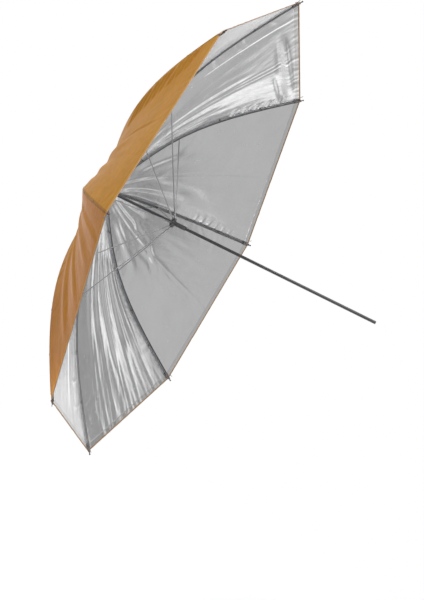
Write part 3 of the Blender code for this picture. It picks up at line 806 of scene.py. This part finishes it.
def make_pocket(index):
    """The sewn pocket that holds a rib's end: a folded strip of cloth round it, stitched to the corner."""
    bm = bmesh.new()
    rings = []
    sideways = Vector(rib_axis(index))
    for back, wide, tall in POCKET:
        at, _, inward = rib_frame(index, LENGTH - back)
        ring = []
        for k in range(POCKET_STEPS + 1):
            angle = math.pi * k / POCKET_STEPS
            across = wide * squared(math.cos(angle), 0.6)
            up = 0.0004 + tall * squared(math.sin(angle), 0.6)
            ring.append(bm.verts.new(at + sideways * across + inward * up))
        rings.append(ring)
    for low, high in zip(rings, rings[1:]):
        for k in range(POCKET_STEPS):
            bm.faces.new((low[k], low[k + 1], high[k + 1], high[k]))
    bmesh.ops.solidify(bm, geom=bm.faces[:], thickness=0.0003)
    name = f"rib_pocket_{index + 1}"
    return add_piece(name, finish_mesh(bm, name, TAPE), index)


def make_gore(index):
    """One gore of the canopy with what is sewn to it."""
    name = f"canopy_{index + 1}"
    gore = add_piece(name, closed_sheet(name, *gore_grid(index), (GOLD, SILVER, EDGE)), index)
    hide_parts(f"canopy_gore_{index + 1}")
    fold_with_rib(gore)
    extras = [make_edge(index), make_tail(index), make_ties(index), make_pocket(index)]


# ---- studio ----

FLOOR_RADIUS = 7.0
FLOOR_DROP = 0.45  # below the canopy
FLOOR_FADE = (0.5, 2.2)  # distances at which the floor starts to fade and is gone


def make_floor():
    """A plain pale floor below the umbrella, which fades out into the backdrop."""
    low, high = CAD_BOX
    mesh = bpy.data.meshes.new("floor")
    bm = bmesh.new()
    bmesh.ops.create_circle(bm, cap_ends=True, segments=96, radius=FLOOR_RADIUS)
    bm.to_mesh(mesh)
    bm.free()
    floor = bpy.data.objects.new("floor", mesh)
    bpy.context.scene.collection.objects.link(floor)
    floor.location = ((low.x + high.x) / 2, 0, low.z - FLOOR_DROP)
    n = Nodes("studio_floor", Roughness=0.8)
    where = n.add("ShaderNodeTexCoord").outputs["Object"]
    distance = n.add("ShaderNodeVectorMath", {"operation": "LENGTH"})
    n.tree.links.new(where, distance.inputs[0])
    paper = n.add("ShaderNodeTexNoise", Vector=where, Scale=60.0, Detail=3.0)
    n.drive("Base Color", n.mix(paper.outputs[0], (0.93, 0.93, 0.93), (0.96, 0.96, 0.96)))
    n.drive("Alpha", n.remap(distance.outputs["Value"], *FLOOR_FADE, 1.0, 0.0))
    mesh.materials.append(n.material)


WORLD_STRENGTH = 0.8
WORLD_BASE = 0.50
WORLD_LOBES = [
    # direction, cosines where it starts and where it is full, colour added
    ((-0.1, 1.0, 0.0), 0.85, 0.98, (0.40, 0.40, 0.40)),  # the lit backdrop behind the umbrella
    ((0.26, 0.87, -0.42), 0.93, 0.99, (0.95, 0.95, 0.95)),  # light off the floor behind it
    ((0.38, 0.90, 0.20), 0.94, 0.992, (0.90, 0.90, 0.90)),  # and a tall soft box beside the backdrop
    ((0.95, 0.20, 0.10), 0.60, 0.97, (0.13, 0.13, 0.13)),  # the pale wall to the right
    ((0.74, 0.67, -0.04), 0.93, 0.99, (-0.22, -0.22, -0.22)),  # a dark gap between the two
    ((0.70, 0.58, 0.45), 0.90, 0.985, (-0.22, -0.22, -0.22)),  # and another above it
    ((-0.72, 0.66, 0.22), 0.90, 0.985, (0.22, 0.42, 1.00)),  # a cool soft light on the crown's upper side
    ((-0.68, 0.68, -0.32), 0.90, 0.985, (-0.02, -0.08, -0.26)),  # and a warm wall below it
    ((0.0, 0.0, 1.0), 0.50, 0.95, (0.95, 0.95, 0.95)),  # the ceiling
    ((0.2, -0.95, 0.0), 0.30, 0.95, (-0.26, -0.26, -0.26)),  # the darker room behind the camera
]


def world_lobe(tree, where, direction, low, high):
    """1 in one direction of the world, falling to 0 between two cosines."""
    dot = tree.nodes.new("ShaderNodeVectorMath")
    dot.operation = "DOT_PRODUCT"
    tree.links.new(where, dot.inputs[0])
    dot.inputs[1].default_value = Vector(direction).normalized()
    ramp = tree.nodes.new("ShaderNodeMapRange")
    ramp.interpolation_type = "SMOOTHSTEP"
    tree.links.new(dot.outputs["Value"], ramp.inputs["Value"])
    ramp.inputs["From Min"].default_value = low
    ramp.inputs["From Max"].default_value = high
    return ramp.outputs[0]


def world_colour(tree):
    """What the umbrella reflects: an even level with the lobes added to it."""
    where = tree.nodes.new("ShaderNodeTexCoord").outputs["Generated"]
    level = tree.nodes.new("ShaderNodeCombineXYZ")
    for socket in level.inputs:
        socket.default_value = WORLD_BASE
    total = level.outputs[0]
    for direction, low, high, colour in WORLD_LOBES:
        scaled = tree.nodes.new("ShaderNodeVectorMath")
        scaled.operation = "SCALE"
        scaled.inputs[0].default_value = colour
        tree.links.new(world_lobe(tree, where, direction, low, high), scaled.inputs["Scale"])
        both = tree.nodes.new("ShaderNodeVectorMath")
        both.operation = "ADD"
        tree.links.new(total, both.inputs[0])
        tree.links.new(scaled.outputs[0], both.inputs[1])
        total = both.outputs[0]
    return total


def make_world():
    """A soft studio all round, behind which the camera itself sees plain white."""
    world = bpy.data.worlds.new("studio")
    bpy.context.scene.world = world
    world.use_nodes = True
    tree = world.node_tree
    tree.nodes.clear()
    lit = tree.nodes.new("ShaderNodeBackground")
    lit.inputs["Strength"].default_value = WORLD_STRENGTH
    tree.links.new(world_colour(tree), lit.inputs["Color"])
    seen = tree.nodes.new("ShaderNodeBackground")
    seen.inputs["Color"].default_value = (1, 1, 1, 1)
    path = tree.nodes.new("ShaderNodeLightPath")
    mix = tree.nodes.new("ShaderNodeMixShader")
    tree.links.new(path.outputs["Is Camera Ray"], mix.inputs[0])
    tree.links.new(lit.outputs[0], mix.inputs[1])
    tree.links.new(seen.outputs[0], mix.inputs[2])
    out = tree.nodes.new("ShaderNodeOutputWorld")
    tree.links.new(mix.outputs[0], out.inputs[0])


LIGHT_SIZE = 1.6


def soft_light(name, position, target, power):
    """A round soft box that faces its target."""
    data = bpy.data.lights.new(name, "AREA")
    data.shape = "DISK"
    data.size = LIGHT_SIZE
    data.energy = power
    light = bpy.data.objects.new(name, data)
    bpy.context.scene.collection.objects.link(light)
    light.location = position
    light.rotation_mode = "QUATERNION"
    light.rotation_quaternion = (Vector(target) - Vector(position)).to_track_quat("-Z", "Y")


CAMERA_PLACE = (0.383, -2.6232, 0.1729)
CAMERA_BACK = (0.2334, -0.9665, 0.1069)  # from what it looks at
CAMERA_RIGHT = (0.8673, 0.2567, 0.4266)  # the picture's right side, which sets the roll
CAMERA_LENS = 72.33  # mm, on a sensor 36 mm high


def make_camera():
    """Level with the crown, a little to the free end, rolled so that the shaft falls away to the right."""
    data = bpy.data.cameras.new("camera")
    data.sensor_width = 36
    data.lens = CAMERA_LENS
    data.clip_start, data.clip_end = 0.05, 60
    camera = bpy.data.objects.new("camera", data)
    bpy.context.scene.collection.objects.link(camera)
    back = Vector(CAMERA_BACK).normalized()
    right = Vector(CAMERA_RIGHT)
    right = (right - back * right.dot(back)).normalized()
    turn = Matrix((right, back.cross(right), back)).transposed().to_4x4()
    camera.matrix_world = Matrix.Translation(CAMERA_PLACE) @ turn
    bpy.context.scene.camera = camera


def main():
    dress_frame()
    for index in range(RIBS):
        make_gore(index)
    make_floor()
    make_world()
    soft_light("key", (1.6, -2.4, 2.6), (-0.3, 0, 0), 60)
    soft_light("fill", (-1.7, -1.5, 2.6), (-0.5, 0, 0.1), 120)
    make_camera()
    bpy.context.scene.view_settings.view_transform = "Standard"


main()
